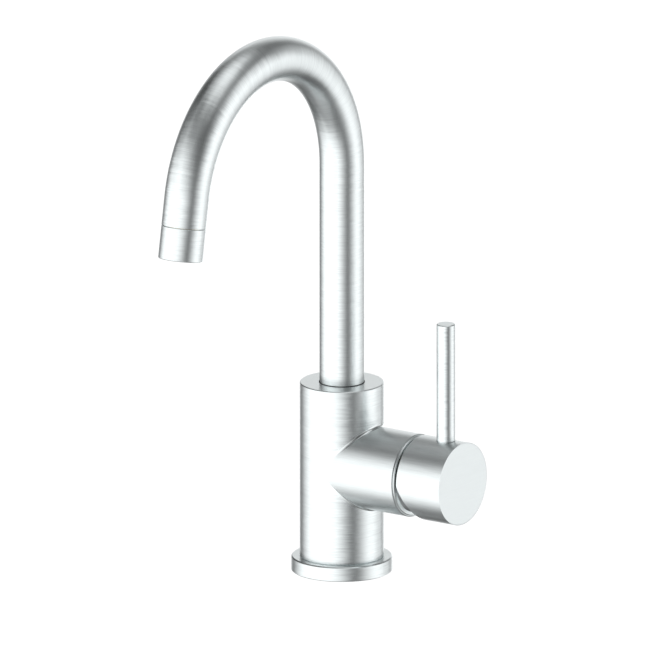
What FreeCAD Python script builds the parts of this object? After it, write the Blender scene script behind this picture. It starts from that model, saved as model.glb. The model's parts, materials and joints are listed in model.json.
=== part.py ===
"""Gooseneck bar faucet with a side lever, built as the pieces it comes apart into.

Frame, in millimetres: the origin is the centre of the base, on the deck. +Z is up, the spout reaches
towards -Y, over the sink, and the valve and its lever stick out towards +X.
Sizes along the valve are stacked from the body's own axis outwards, and sizes up the body from the deck.
"""
import FreeCAD, Part
import math
import os

V = FreeCAD.Vector
CENTRE = V(0, 0, 0)
UP = V(0, 0, 1)
OUT = V(1, 0, 0)
BACK = V(0, 1, 0)

# How far a cutting tool runs past the face it opens, and how far pieces that are fused reach in
PAST = 1.0

# ---------------------------------------------------------------- driving sizes
# Edges
SMALL_CHAMFER = 0.4
FLANGE_CHAMFER = 0.6
BRANCH_FILLET = 1.3

# Base
FLANGE_HEIGHT = 8.0
FLANGE_LEDGE = 4.5
SPIGOT_STEP = 2.5
SPIGOT_STANDOFF = 1.0
FLANGE_BORE_CLEARANCE = 0.3

# Deck seal, in a groove under the flange
GASKET_OUTER_EDGE = 1.4
GASKET_INNER_EDGE = 2.3
GASKET_THICKNESS = 1.5
GASKET_CLEARANCE = 0.05

# Threaded holes in the underside: two hose inlets and two mounting studs
INLET_SPACING = 17.0
INLET_THREAD_CORE = 9.0
INLET_THREAD_DEPTH = 12.0
INLET_PASSAGE = 6.0
STUD_SPACING = 24.0
STUD_THREAD_CORE = 6.8
STUD_THREAD_DEPTH = 14.0

# Body: the valve's axis, the top above it, and how far its side stands proud of the housing's
VALVE_HEIGHT = 59.2
TOP_ABOVE_VALVE = 44.5
BODY_STEP = 0.1

# Spout tube
TUBE_DIAMETER = 24.0
TUBE_WALL = 1.2
RISER_LENGTH = 120.2
BEND_RADIUS = 72.4
BEND_SWEEP = 170.0
TAIL_LENGTH = 15.2
TUBE_INSERTION = 6.0

# Spout foot: grooves cut in the part that turns in the body's socket
SOCKET_CLEARANCE = 0.2
BRAZE_GAP = 0.05
FOOT_LAND = 0.9
FOOT_WALL = 1.7
FOOT_PLUG_LENGTH = 8.0
FOOT_FLOOR_GAP = 0.5
SLIP_RING_WIDTH = 2.2
SLIP_RING_DEPTH = 1.4
SLIP_RING_SPLIT = 1.5
SLIP_RING_CLEARANCE = 0.05
O_RING_WIDTH = 2.4
O_RING_DEPTH = 1.8
O_RING_SLACK = 0.1
SCREW_GROOVE_WIDTH = 3.4
SCREW_GROOVE_DEPTH = 1.6

# Dust ring in the socket's mouth, round the tube. Its edge shows above the body as a dark line
DUST_RING_WALL = 0.2
DUST_RING_GAP = 0.05
DUST_RING_DEPTH = 3.0
DUST_RING_RISE = 0.3

# Grub screws, which hold the spout and the handle
GRUB_DIAMETER = 5.0
GRUB_CLEARANCE = 0.05
GRUB_POINT_DIAMETER = 2.8
GRUB_POINT_LENGTH = 2.0
GRUB_SOCKET_FLATS = 2.5
GRUB_SOCKET_DEPTH = 2.8
SPOUT_SCREW_GAP = 0.3
SPOUT_SCREW_RECESS = 1.3
HANDLE_SCREW_LENGTH = 10.5
HANDLE_SCREW_SETBACK = 4.5

# Water ways between the inlets, the valve's seat and the spout
PORT_DIAMETER = 5.0
PORT_SPREAD = 4.6
PORT_RISE = 5.4
OUTLET_PORT_DIAMETER = 7.0
OUTLET_PORT_DROP = 5.5
OUTLET_PASSAGE = 8.0
OUTLET_SETBACK = 6.0

# Valve housing: a ceramic-disc cartridge lies in it, along X
SEAT_OFFSET = 5.0
CARTRIDGE_DIAMETER = 35.0
CARTRIDGE_CLEARANCE = 0.25
NUT_THREAD_STEP = 1.25
HOUSING_WALL = 3.4

# Cartridge, fixed pieces
BASE_THICKNESS = 6.0
BASE_PIN_DIAMETER = 3.0
BASE_PIN_LENGTH = 2.5
BASE_PIN_EDGE = 4.5
BASE_PIN_DROP = 5.0
BASE_PIN_CLEARANCE = 0.1
SEAL_SECTION = 1.6
SEAL_CLEARANCE = 0.1
DISC_POCKET = 1.5
DISC_CLEARANCE = 0.1
DISC_MARGIN = 1.1
FIXED_DISC_THICKNESS = 4.0
CASE_WALL = 1.9
CASE_TOP = 1.7
CASE_NECK_WALL = 2.0
CASE_NECK_LENGTH = 4.0

# Cartridge, the slide that opens the flow
LAPPED_GAP = 0.02
MOVING_DISC_THICKNESS = 4.0
MIXING_POCKET_DIAMETER = 10.0
MIXING_POCKET_DEPTH = 2.0
MIXING_POCKET_DROP = 1.0
PEG_DIAMETER = 2.4
PEG_LENGTH = 1.5
PEG_SPREAD = 8.0
CARRIER_THICKNESS = 4.8
CARRIER_CLEARANCE = 1.7
CARRIER_FLOOR = 0.5
RIB_HEIGHT = 2.2
RIB_WIDTH = 2.0
RIB_SPACING = 10.6
RIB_LENGTH = 13.0
RIB_CLEARANCE = 0.3

# Cartridge, the rotor and the stem
TILT = 20.0
BALL_DIAMETER = 5.6
BALL_CLEARANCE = 0.1
STEM_ARM = 11.0
STEM_SQUARE = 8.0
STEM_SHANK = 4.0
STEM_SLOT_CLEARANCE = 0.2
PIN_DIAMETER = 3.0
PIN_FIT = 0.02
PIN_RUNNING_CLEARANCE = 0.05
PIN_INSET = 1.6
ROTOR_GAP = 0.6
ROTOR_COVER = 1.0
ROTOR_CLEARANCE = 0.3
ROTOR_SHOULDER = 4.4
ROTOR_NECK_CLEARANCE = 0.05

# Retaining nut and the bonnet ring that closes the housing
NUT_HEIGHT = 9.5
NUT_CLEARANCE = 0.05
NUT_BORE_CLEARANCE = 0.4
NUT_SLOT_WIDTH = 5.0
NUT_SLOT_DEPTH = 2.5
NUT_SLOTS = 4
BONNET_GAP = 0.2
BONNET_SKIRT = 2.3
BONNET_LIP = 1.2
BONNET_WALL = 3.45

# Handle
HANDLE_GAP = 2.4
HUB_LENGTH = 28.2
HUB_EDGE_DEPTH = 0.15
HUB_WALL = 2.0
HUB_CAVITY = 10.2
HUB_RELIEF_MARGIN = 2.5
HUB_SOCKET_STOP = 8.5
STEM_FIT = 0.1
STEM_END_GAP = 0.3
ROD_DIAMETER = 10.0
ROD_LENGTH = 64.4
ROD_SETBACK = 11.1
ROD_SEAT_DEPTH = 2.0
ROD_FIT = 0.05
ROD_NECK_STEP = 0.2
ROD_TENON_DIAMETER = 7.0
ROD_TENON_LENGTH = 9.0
ROD_TENON_GAP = 0.3
COVER_DIAMETER = 7.0
COVER_THICKNESS = 2.2
COVER_GAP = 0.4
COVER_FIT = 0.05

# Aerator, measured from the end of the tube along the outlet
TIP_LENGTH = 18.0
TIP_SEAM = 0.25
TIP_CHAMFER = 0.3
TIP_WALL = 1.4
TIP_LIP = 1.4
MOUTH_CLEARANCE = 0.2
ADAPTER_INSERTION = 8.0
ADAPTER_THREAD_LENGTH = 7.0
ADAPTER_THREAD_CLEARANCE = 0.1
ADAPTER_WALL = 2.0
INSERT_CLEARANCE = 0.1
INSERT_FLANGE = 1.2
INSERT_STEP = 1.0
INSERT_WALL = 1.1
INSERT_REBATE = 0.55
INSERT_SLOTS = 6
INSERT_SLOT_WIDTH = 2.2
WASHER_THICKNESS = 1.4
SCREEN_THICKNESS = 0.8
SCREEN_CLEARANCE = 0.05
SCREEN_HOLE = 1.3
SCREEN_RINGS = 3
SCREEN_PITCH = 2.4
GRID_THICKNESS = 1.6
GRID_LIP = 0.4
GRID_CELL = 2.0
GRID_RINGS = 2
GRID_PITCH = 2.4

# ---------------------------------------------------------------- sizes that follow
# The housing is as wide as its cartridge, nut thread and wall. The hub is as wide, and the body hardly more
case_r = CARTRIDGE_DIAMETER / 2
valve_bore_r = case_r + CARTRIDGE_CLEARANCE
nut_thread_r = valve_bore_r + NUT_THREAD_STEP
valve_r = nut_thread_r + HOUSING_WALL
body_r = valve_r + BODY_STEP
valve_bottom = VALVE_HEIGHT - valve_r
valve_top = VALVE_HEIGHT + valve_r
body_top = VALVE_HEIGHT + TOP_ABOVE_VALVE

# Base
flange_r = body_r + FLANGE_LEDGE
spigot_r = body_r - SPIGOT_STEP
flange_bore_r = spigot_r + FLANGE_BORE_CLEARANCE
gasket_outer_r = flange_r - GASKET_OUTER_EDGE
gasket_inner_r = flange_bore_r + GASKET_INNER_EDGE

# Spout, from the tube's lower end down to the socket's floor
tube_r = TUBE_DIAMETER / 2
tube_inner_r = tube_r - TUBE_WALL
socket_r = tube_r + SOCKET_CLEARANCE
dust_ring_inner_r = tube_r + DUST_RING_GAP
dust_ring_outer_r = dust_ring_inner_r + DUST_RING_WALL
dust_seat_r = dust_ring_outer_r + DUST_RING_GAP
dust_seat_z = body_top - DUST_RING_DEPTH
plug_r = tube_inner_r - BRAZE_GAP
foot_bore_r = tube_r - O_RING_DEPTH - FOOT_WALL
bend_start_z = body_top + RISER_LENGTH
tube_end_z = body_top - TUBE_INSERTION
upper_slip_z = tube_end_z - FOOT_LAND - SLIP_RING_WIDTH
upper_o_ring_z = upper_slip_z - FOOT_LAND - O_RING_WIDTH
screw_groove_z = upper_o_ring_z - FOOT_LAND - SCREW_GROOVE_WIDTH
lower_o_ring_z = screw_groove_z - FOOT_LAND - O_RING_WIDTH
lower_slip_z = lower_o_ring_z - FOOT_LAND - SLIP_RING_WIDTH
foot_z = lower_slip_z - FOOT_LAND
socket_floor_z = foot_z - FOOT_FLOOR_GAP
spout_screw_z = screw_groove_z + SCREW_GROOVE_WIDTH / 2

# Cartridge, stacked outwards from its seat
cavity_r = case_r - CASE_WALL
base_end = SEAT_OFFSET + BASE_THICKNESS
fixed_disc_start = base_end - DISC_POCKET
fixed_disc_end = fixed_disc_start + FIXED_DISC_THICKNESS
fixed_disc_r = cavity_r - DISC_MARGIN
moving_disc_start = fixed_disc_end + LAPPED_GAP
moving_disc_end = moving_disc_start + MOVING_DISC_THICKNESS
carrier_end = moving_disc_end + CARRIER_THICKNESS
ball_r = BALL_DIAMETER / 2
ball_x = moving_disc_end + CARRIER_FLOOR + BALL_CLEARANCE + ball_r
pivot_x = ball_x + STEM_ARM
slide_travel = STEM_ARM * math.sin(math.radians(TILT))
slide_z = VALVE_HEIGHT - slide_travel / 2
carrier_r = cavity_r - slide_travel / 2 - CARRIER_CLEARANCE
rotor_start = carrier_end + ROTOR_GAP
rotor_shoulder = pivot_x + PIN_DIAMETER / 2 + ROTOR_COVER
rotor_r = cavity_r - ROTOR_CLEARANCE
rotor_neck_r = rotor_r - ROTOR_SHOULDER
bearing_r = rotor_neck_r + ROTOR_NECK_CLEARANCE
case_top_start = rotor_shoulder + ROTOR_CLEARANCE
case_shoulder = case_top_start + CASE_TOP
case_end = case_shoulder + CASE_NECK_LENGTH
case_neck_r = bearing_r + CASE_NECK_WALL
nut_end = case_shoulder + NUT_HEIGHT
housing_end = nut_end + BONNET_GAP + BONNET_SKIRT
nut_r = nut_thread_r - NUT_CLEARANCE

# Bonnet and handle: the bonnet's nose is round about the pivot, so the hub clears it at every tilt
bonnet_r = nut_thread_r + BONNET_LIP
nose_r = math.hypot(housing_end - pivot_x, bonnet_r)
hub_start = housing_end + HANDLE_GAP
hub_end = hub_start + HUB_LENGTH
hub_cavity_end = hub_start + HUB_CAVITY
hub_socket_end = hub_end - HUB_SOCKET_STOP
stem_end = hub_socket_end - STEM_END_GAP
rod_x = hub_end - ROD_SETBACK
rod_seat_z = valve_top - ROD_SEAT_DEPTH
handle_screw_x = hub_socket_end - HANDLE_SCREW_SETBACK

# Tip
tip_bore_r = tube_r - TIP_WALL
adapter_thread_r = tip_bore_r - ADAPTER_THREAD_CLEARANCE
adapter_bore_r = adapter_thread_r - ADAPTER_WALL
insert_r = tip_bore_r - INSERT_CLEARANCE
insert_body_r = insert_r - INSERT_STEP
insert_bore_r = insert_body_r - INSERT_WALL
insert_start = ADAPTER_THREAD_LENGTH + WASHER_THICKNESS
insert_end = TIP_LENGTH - TIP_LIP
grid_end = insert_end - GRID_LIP
mouth_r = insert_body_r + MOUTH_CLEARANCE


# ---------------------------------------------------------------- small tools
def bar_z(radius, z0, z1, x=0.0, y=0.0):
    """A round bar along Z."""
    return Part.makeCylinder(radius, z1 - z0, V(x, y, z0), UP)


def bar_x(radius, x0, x1, y=0.0, z=VALVE_HEIGHT):
    """A round bar along X, on the valve's axis unless y and z say otherwise."""
    return Part.makeCylinder(radius, x1 - x0, V(x0, y, z), OUT)


def bar_y(radius, y0, y1, x, z):
    """A round bar along Y."""
    return Part.makeCylinder(radius, y1 - y0, V(x, y0, z), BACK)


def block(x0, x1, y0, y1, z0, z1):
    return Part.makeBox(x1 - x0, y1 - y0, z1 - z0, V(x0, y0, z0))


def lathe(outline):
    """Turns a closed outline of (radius, height) points about Z."""
    points = [V(r, 0, h) for r, h in outline]
    face = Part.Face(Part.makePolygon(points + points[:1]))
    return face.revolve(CENTRE, UP, 360)


def ring(outer_r, inner_r, z0, z1):
    return lathe([(inner_r, z0), (outer_r, z0), (outer_r, z1), (inner_r, z1)])


def o_ring(floor_r, wall_r, z):
    """A round rubber ring that just clears the wall it is squeezed against in use."""
    section_r = (wall_r - O_RING_SLACK - floor_r) / 2
    return Part.makeTorus(floor_r + section_r, section_r, V(0, 0, z), UP)


def hexagon(flats, z0, z1):
    """A hexagonal prism on Z, of that size across its flats."""
    corner_r = flats / math.sqrt(3)
    corners = [V(corner_r, 0, z0)]
    for i in range(1, 6):
        angle = math.radians(60 * i)
        corners.append(V(corner_r * math.cos(angle), corner_r * math.sin(angle), z0))
    return Part.Face(Part.makePolygon(corners + corners[:1])).extrude(V(0, 0, z1 - z0))


def round_places(shape, count, first=0.0):
    """Copies of a shape at even steps round Z."""
    copies = []
    for i in range(count):
        turned = shape.copy()
        turned.rotate(CENTRE, UP, first + 360 / count * i)
        copies.append(turned)
    return copies


def honeycomb(shape, pitch, rings):
    """Copies of a shape at the places of a honeycomb: that many rings round a centre one."""
    copies = []
    for row in range(-rings, rings + 1):
        for column in range(-rings, rings + 1):
            if abs(row + column) <= rings:
                moved = shape.copy()
                moved.translate(V((column + row / 2) * pitch, row * pitch * math.sqrt(3) / 2, 0))
                copies.append(moved)
    return copies


def without(shape, *tools):
    """The shape with all the tools cut out of it."""
    return shape.cut(list(tools))


def placed(shape, position, rotation):
    moved = shape.copy()
    moved.Placement = FreeCAD.Placement(position, rotation).multiply(moved.Placement)
    return moved


def along_valve(shape):
    """Lays a shape made on Z along the valve's axis, with its zero on the body's axis."""
    return placed(shape, V(0, 0, VALVE_HEIGHT), FreeCAD.Rotation(BACK, 90))


def along_outlet(shape):
    """Lays a shape made on Z along the outlet's axis, with its zero at the tube's end."""
    sweep = math.radians(BEND_SWEEP)
    forward = BEND_RADIUS * (1 - math.cos(sweep)) + TAIL_LENGTH * math.sin(sweep)
    height = bend_start_z + BEND_RADIUS * math.sin(sweep) + TAIL_LENGTH * math.cos(sweep)
    return placed(shape, V(0, -forward, height), FreeCAD.Rotation(OUT, BEND_SWEEP))


def grub_screw(length):
    """A hexagon-socket grub screw with a dog point. It stands on its point, at zero."""
    r = GRUB_DIAMETER / 2 - GRUB_CLEARANCE
    point_r = GRUB_POINT_DIAMETER / 2
    shank = lathe([
        (0, 0),
        (point_r, 0),
        (point_r, GRUB_POINT_LENGTH),
        (r - SMALL_CHAMFER, GRUB_POINT_LENGTH),
        (r, GRUB_POINT_LENGTH + SMALL_CHAMFER),
        (r, length - SMALL_CHAMFER),
        (r - SMALL_CHAMFER, length),
        (0, length),
    ])
    return without(shank, hexagon(GRUB_SOCKET_FLATS, length - GRUB_SOCKET_DEPTH, length + PAST))


# ---------------------------------------------------------------- body and base
def faucet_body():
    """Turned body with the valve's housing on its side. The corner between the two is eased.

    The column's seam is turned to the far side, because a seam inside the corner spoils the easing.
    """
    column = lathe([
        (0, SPIGOT_STANDOFF),
        (spigot_r - SMALL_CHAMFER, SPIGOT_STANDOFF),
        (spigot_r, SPIGOT_STANDOFF + SMALL_CHAMFER),
        (spigot_r, FLANGE_HEIGHT),
        (body_r - SMALL_CHAMFER, FLANGE_HEIGHT),
        (body_r, FLANGE_HEIGHT + SMALL_CHAMFER),
        (body_r, body_top - SMALL_CHAMFER),
        (body_r - SMALL_CHAMFER, body_top),
        (0, body_top),
    ])
    column.rotate(CENTRE, UP, 180)
    housing = along_valve(lathe([
        (0, 0),
        (valve_r, 0),
        (valve_r, housing_end - SMALL_CHAMFER),
        (valve_r - SMALL_CHAMFER, housing_end),
        (0, housing_end),
    ]))
    body = column.fuse(housing).removeSplitter()
    corner = [edge for edge in body.Edges if isinstance(edge.Curve, Part.BSplineCurve)]
    body = body.makeFillet(BRANCH_FILLET, corner)
    return without(body, spout_socket(), valve_cavity(), *underside_holes(), *water_ways(), *small_holes())


def spout_socket():
    """Blind hole in the top of the body, which the spout's foot turns in."""
    return lathe([
        (0, socket_floor_z),
        (socket_r, socket_floor_z),
        (socket_r, dust_seat_z),
        (dust_seat_r, dust_seat_z),
        (dust_seat_r, body_top + PAST),
        (0, body_top + PAST),
    ])


def valve_cavity():
    """Bore for the cartridge, and the wider thread for its nut and the bonnet."""
    bore = bar_x(valve_bore_r, SEAT_OFFSET, case_shoulder + PAST)
    thread = bar_x(nut_thread_r, case_shoulder, housing_end + PAST)
    return bore.fuse(thread)


def underside_holes():
    """Threaded holes: hose inlets in line with the spout, mounting studs across it."""
    inlet_top = SPIGOT_STANDOFF + INLET_THREAD_DEPTH
    stud_top = SPIGOT_STANDOFF + STUD_THREAD_DEPTH
    holes = []
    for side in (-1, 1):
        holes.append(bar_z(INLET_THREAD_CORE / 2, 0, inlet_top, 0, side * INLET_SPACING / 2))
        holes.append(bar_z(STUD_THREAD_CORE / 2, 0, stud_top, side * STUD_SPACING / 2))
    return holes


def water_ways():
    """One way up from each inlet to the seat, and one from the seat up into the socket."""
    port_z = VALVE_HEIGHT + PORT_RISE
    outlet_z = VALVE_HEIGHT - OUTLET_PORT_DROP
    way_out = bar_x(OUTLET_PORT_DIAMETER / 2, -OUTLET_SETBACK, SEAT_OFFSET + PAST, 0, outlet_z)
    way_up = bar_z(OUTLET_PASSAGE / 2, outlet_z, socket_floor_z + PAST, -OUTLET_SETBACK)
    ways = [way_out, way_up]
    port_top = port_z + PORT_DIAMETER / 2
    for side in (-1, 1):
        ways.append(bar_z(INLET_PASSAGE / 2, SPIGOT_STANDOFF, port_top, 0, side * INLET_SPACING / 2))
        ways.append(bar_x(PORT_DIAMETER / 2, 0, SEAT_OFFSET + PAST, side * PORT_SPREAD, port_z))
    return ways


def small_holes():
    """Groove of the flange's ring, the spout screw's hole and the holes for the cartridge's pins."""
    groove = ring(spigot_r + PAST, spigot_r - O_RING_DEPTH, *flange_groove())
    screw_hole = bar_y(GRUB_DIAMETER / 2, socket_r - PAST, body_r + PAST, 0, spout_screw_z)
    pin_hole_r = BASE_PIN_DIAMETER / 2 + BASE_PIN_CLEARANCE
    pin_hole_start = SEAT_OFFSET - BASE_PIN_LENGTH - BASE_PIN_CLEARANCE
    return [groove, screw_hole, *base_pins(pin_hole_r, pin_hole_start)]


def base_pins(radius, start):
    """Pair of round pins, or of holes for them, that stop the cartridge from turning."""
    spread = case_r - BASE_PIN_EDGE
    height = VALVE_HEIGHT - BASE_PIN_DROP
    return [bar_x(radius, start, SEAT_OFFSET + PAST, side * spread, height) for side in (-1, 1)]


def flange_groove():
    """Lower and upper edge of the ring's groove, half way up the spigot."""
    middle = (SPIGOT_STANDOFF + FLANGE_HEIGHT) / 2
    return middle - O_RING_WIDTH / 2, middle + O_RING_WIDTH / 2


def base_flange():
    """Ring that covers the hole in the deck. The body's shoulder stands on it."""
    turned = lathe([
        (flange_bore_r, 0),
        (flange_r - SMALL_CHAMFER, 0),
        (flange_r, SMALL_CHAMFER),
        (flange_r, FLANGE_HEIGHT - FLANGE_CHAMFER),
        (flange_r - FLANGE_CHAMFER, FLANGE_HEIGHT),
        (flange_bore_r, FLANGE_HEIGHT),
    ])
    groove_outer_r = gasket_outer_r + GASKET_CLEARANCE
    groove_inner_r = gasket_inner_r - GASKET_CLEARANCE
    return without(turned, ring(groove_outer_r, groove_inner_r, -PAST, GASKET_THICKNESS))


def deck_gasket():
    return ring(gasket_outer_r, gasket_inner_r, 0, GASKET_THICKNESS)


def flange_o_ring():
    lower, upper = flange_groove()
    return o_ring(spigot_r - O_RING_DEPTH, flange_bore_r, (lower + upper) / 2)


def spout_set_screw():
    """Screwed in from the body's back. Its point runs in the foot's groove and holds the spout down."""
    point_y = tube_r - SCREW_GROOVE_DEPTH + SPOUT_SCREW_GAP
    screw = grub_screw(body_r - SPOUT_SCREW_RECESS - point_y)
    return placed(screw, V(0, point_y, spout_screw_z), FreeCAD.Rotation(OUT, -90))


# ---------------------------------------------------------------- spout
def spout_tube():
    """One tube: a riser, a long bend and a short straight tail that leans forward."""
    return spout_path(tube_r).cut(spout_path(tube_inner_r))


def spout_path(radius):
    """Solid of that radius along the spout's centre line."""
    start = Part.Face(Part.Wire(Part.makeCircle(radius, V(0, 0, bend_start_z), UP)))
    riser = bar_z(radius, tube_end_z, bend_start_z)
    bend = start.revolve(V(0, -BEND_RADIUS, bend_start_z), OUT, BEND_SWEEP)
    tail = along_outlet(bar_z(radius, -TAIL_LENGTH, 0))
    return riser.fuse([bend, tail]).removeSplitter()


def spout_foot():
    """Turned foot brazed into the tube, with grooves for two slip rings, two seals and the set screw."""
    grooves = [
        (lower_slip_z, SLIP_RING_WIDTH, SLIP_RING_DEPTH),
        (lower_o_ring_z, O_RING_WIDTH, O_RING_DEPTH),
        (screw_groove_z, SCREW_GROOVE_WIDTH, SCREW_GROOVE_DEPTH),
        (upper_o_ring_z, O_RING_WIDTH, O_RING_DEPTH),
        (upper_slip_z, SLIP_RING_WIDTH, SLIP_RING_DEPTH),
    ]
    outline = [(foot_bore_r, foot_z), (tube_r, foot_z)]
    for z, width, depth in grooves:
        outline += [(tube_r, z), (tube_r - depth, z), (tube_r - depth, z + width), (tube_r, z + width)]
    plug_top = tube_end_z + FOOT_PLUG_LENGTH
    outline += [(tube_r, tube_end_z), (plug_r, tube_end_z), (plug_r, plug_top), (foot_bore_r, plug_top)]
    return lathe(outline)


def slip_ring(z):
    """Split plastic bearing ring, which carries the spout in the socket."""
    whole = ring(socket_r - SLIP_RING_CLEARANCE, tube_r - SLIP_RING_DEPTH + SLIP_RING_CLEARANCE,
                 z + SLIP_RING_CLEARANCE, z + SLIP_RING_WIDTH - SLIP_RING_CLEARANCE)
    split = block(0, socket_r, -SLIP_RING_SPLIT / 2, SLIP_RING_SPLIT / 2, z, z + SLIP_RING_WIDTH)
    return without(whole, split)


def spout_o_ring(z):
    return o_ring(tube_r - O_RING_DEPTH, socket_r, z + O_RING_WIDTH / 2)


def spout_dust_ring():
    """Thin rubber ring in the socket's mouth, which keeps dirt and water out of the swivel."""
    return ring(dust_ring_outer_r, dust_ring_inner_r, dust_seat_z + DUST_RING_GAP, body_top + DUST_RING_RISE)


# ---------------------------------------------------------------- tip
def outlet_adapter():
    """Threaded nose brazed into the end of the tube."""
    return along_outlet(lathe([
        (adapter_bore_r, -ADAPTER_INSERTION),
        (plug_r, -ADAPTER_INSERTION),
        (plug_r, 0),
        (adapter_thread_r, 0),
        (adapter_thread_r, ADAPTER_THREAD_LENGTH - SMALL_CHAMFER),
        (adapter_thread_r - SMALL_CHAMFER, ADAPTER_THREAD_LENGTH),
        (adapter_bore_r, ADAPTER_THREAD_LENGTH),
    ]))


def aerator_housing():
    """Sleeve at the tip, as wide as the tube. It screws onto the nose and holds the insert."""
    return along_outlet(lathe([
        (tip_bore_r, TIP_SEAM),
        (tube_r - TIP_CHAMFER, TIP_SEAM),
        (tube_r, TIP_SEAM + TIP_CHAMFER),
        (tube_r, TIP_LENGTH - TIP_CHAMFER),
        (tube_r - TIP_CHAMFER, TIP_LENGTH),
        (mouth_r, TIP_LENGTH),
        (mouth_r, insert_end),
        (tip_bore_r, insert_end),
    ]))


def aerator_washer():
    return along_outlet(ring(insert_r, adapter_bore_r, ADAPTER_THREAD_LENGTH, insert_start))


def aerator_insert():
    """Plastic cup with a flange, a rebate for the screen, and slots round its side that let air in."""
    screen_end = insert_start + SCREEN_THICKNESS
    cup = lathe([
        (insert_bore_r, screen_end),
        (insert_bore_r + INSERT_REBATE, screen_end),
        (insert_bore_r + INSERT_REBATE, insert_start),
        (insert_r, insert_start),
        (insert_r, insert_start + INSERT_FLANGE),
        (insert_body_r, insert_start + INSERT_FLANGE),
        (insert_body_r, insert_end),
        (insert_bore_r - INSERT_REBATE, insert_end),
        (insert_bore_r - INSERT_REBATE, grid_end),
        (insert_bore_r, grid_end),
    ])
    half = INSERT_SLOT_WIDTH / 2
    middle = (insert_start + INSERT_FLANGE + grid_end - GRID_THICKNESS) / 2
    slot = block(insert_bore_r - PAST, insert_body_r + PAST, -half, half, middle - half, middle + half)
    return along_outlet(without(cup, *round_places(slot, INSERT_SLOTS)))


def aerator_screen():
    """Perforated strainer that lies in the insert's rebate."""
    radius = insert_bore_r + INSERT_REBATE - SCREEN_CLEARANCE
    disc = bar_z(radius, insert_start, insert_start + SCREEN_THICKNESS)
    hole = bar_z(SCREEN_HOLE / 2, insert_start - PAST, insert_start + SCREEN_THICKNESS + PAST)
    return along_outlet(without(disc, *honeycomb(hole, SCREEN_PITCH, SCREEN_RINGS)))


def aerator_grid():
    """Honeycomb that straightens the stream. It shows in the mouth of the tip."""
    disc = bar_z(insert_bore_r - SCREEN_CLEARANCE, grid_end - GRID_THICKNESS, grid_end)
    cell = hexagon(GRID_CELL, grid_end - GRID_THICKNESS - PAST, grid_end + PAST)
    cell.rotate(CENTRE, UP, 30)
    return along_outlet(without(disc, *honeycomb(cell, GRID_PITCH, GRID_RINGS)))


# ---------------------------------------------------------------- cartridge, fixed pieces
def port_seats():
    """Radius, place across and height of each port: the outlet, then the two inlets."""
    seats = [(OUTLET_PORT_DIAMETER / 2, 0, VALVE_HEIGHT - OUTLET_PORT_DROP)]
    for side in (-1, 1):
        seats.append((PORT_DIAMETER / 2, side * PORT_SPREAD, VALVE_HEIGHT + PORT_RISE))
    return seats


def port_holes(x0, x1):
    return [bar_x(radius, x0, x1, y, z) for radius, y, z in port_seats()]


def seal_rings(clearance):
    """A square-section ring round each port, at the seat. With a clearance they are its grooves."""
    end = SEAT_OFFSET + SEAL_SECTION
    rings = []
    for port_r, y, z in port_seats():
        inner_r = port_r + SEAL_CLEARANCE
        outer = bar_x(inner_r + SEAL_SECTION + clearance, SEAT_OFFSET, end, y, z)
        rings.append(outer.cut(bar_x(inner_r - clearance, SEAT_OFFSET - PAST, end + PAST, y, z)))
    return rings


def cartridge_base():
    """Plastic foot of the cartridge: ports, seal grooves and two locating pins."""
    pins = base_pins(BASE_PIN_DIAMETER / 2, SEAT_OFFSET - BASE_PIN_LENGTH)
    foot = bar_x(case_r, SEAT_OFFSET, base_end).fuse(pins)
    pocket = bar_x(fixed_disc_r + DISC_CLEARANCE, fixed_disc_start, base_end + PAST)
    return without(foot, pocket, *port_holes(SEAT_OFFSET - PAST, base_end), *seal_rings(SEAL_CLEARANCE))


def cartridge_seals():
    return Part.makeCompound(seal_rings(0))


def fixed_disc():
    """Ceramic disc that stands still, with the three ports through it."""
    disc = bar_x(fixed_disc_r, fixed_disc_start, fixed_disc_end)
    return without(disc, *port_holes(fixed_disc_start - PAST, fixed_disc_end + PAST))


def cartridge_case():
    """Plastic case that closes over the moving pieces. Its neck is the rotor's bearing."""
    return along_valve(lathe([
        (cavity_r, base_end),
        (case_r, base_end),
        (case_r, case_shoulder),
        (case_neck_r, case_shoulder),
        (case_neck_r, case_end),
        (bearing_r, case_end),
        (bearing_r, case_top_start),
        (cavity_r, case_top_start),
    ]))


def cartridge_nut():
    """Slotted ring nut that clamps the cartridge on its seat."""
    inner_r = case_neck_r + NUT_BORE_CLEARANCE
    half = NUT_SLOT_WIDTH / 2
    slot = block(inner_r - PAST, nut_thread_r + PAST, -half, half, nut_end - NUT_SLOT_DEPTH, nut_end + PAST)
    slots = round_places(slot, NUT_SLOTS, 180 / NUT_SLOTS)
    return along_valve(without(ring(nut_r, inner_r, case_shoulder, nut_end), *slots))


def bonnet_ring():
    """Trim ring screwed into the housing, with a nose that is round about the handle's pivot."""
    skirt_start = housing_end - BONNET_SKIRT
    nose_tip = pivot_x + nose_r
    nose = Part.makeSphere(nose_r, V(0, 0, pivot_x)).common(bar_z(nose_r, housing_end, nose_tip))
    opening = bar_z(nut_r - BONNET_WALL, skirt_start - PAST, nose_tip + PAST)
    return along_valve(without(nose.fuse(bar_z(nut_r, skirt_start, housing_end)), opening))


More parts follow.
